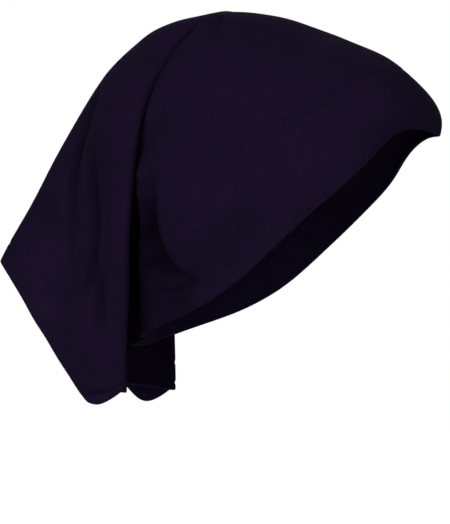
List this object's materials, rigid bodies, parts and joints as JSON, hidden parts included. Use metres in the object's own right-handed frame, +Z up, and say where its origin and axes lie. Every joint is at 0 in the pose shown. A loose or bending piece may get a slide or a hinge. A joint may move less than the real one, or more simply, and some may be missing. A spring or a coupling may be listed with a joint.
{
  "type": "tube underscarf cap",
  "caption": "Soft jersey tube worn under a headscarf: it hugs the head like a hood, folds over behind the crown and hangs down the back as an open-ended flap.",
  "frame": {"origin": "Highest point of the inside of the crown, where the cap sits on the top of a head; it is the mount head_seat.", "axes": "+X the way the wearer faces, from the hanging flap towards the brow; +Y to the wearer's left; +Z up. The cap is mirrored about the plane Y = 0."},
  "size_m": [0.2506, 0.1554, 0.2172],
  "materials": {
    "band_jersey": "matte fine jersey, very dark plum, turned double",
    "tube_jersey": "matte fine jersey, very dark plum",
    "hem_jersey": "matte fine jersey, very dark plum, turned double and stitched"
  },
  "bodies": {
    "root": {"front_band": "band_jersey", "crown_tube": "tube_jersey", "back_hem": "hem_jersey"}
  },
  "joints": []
}
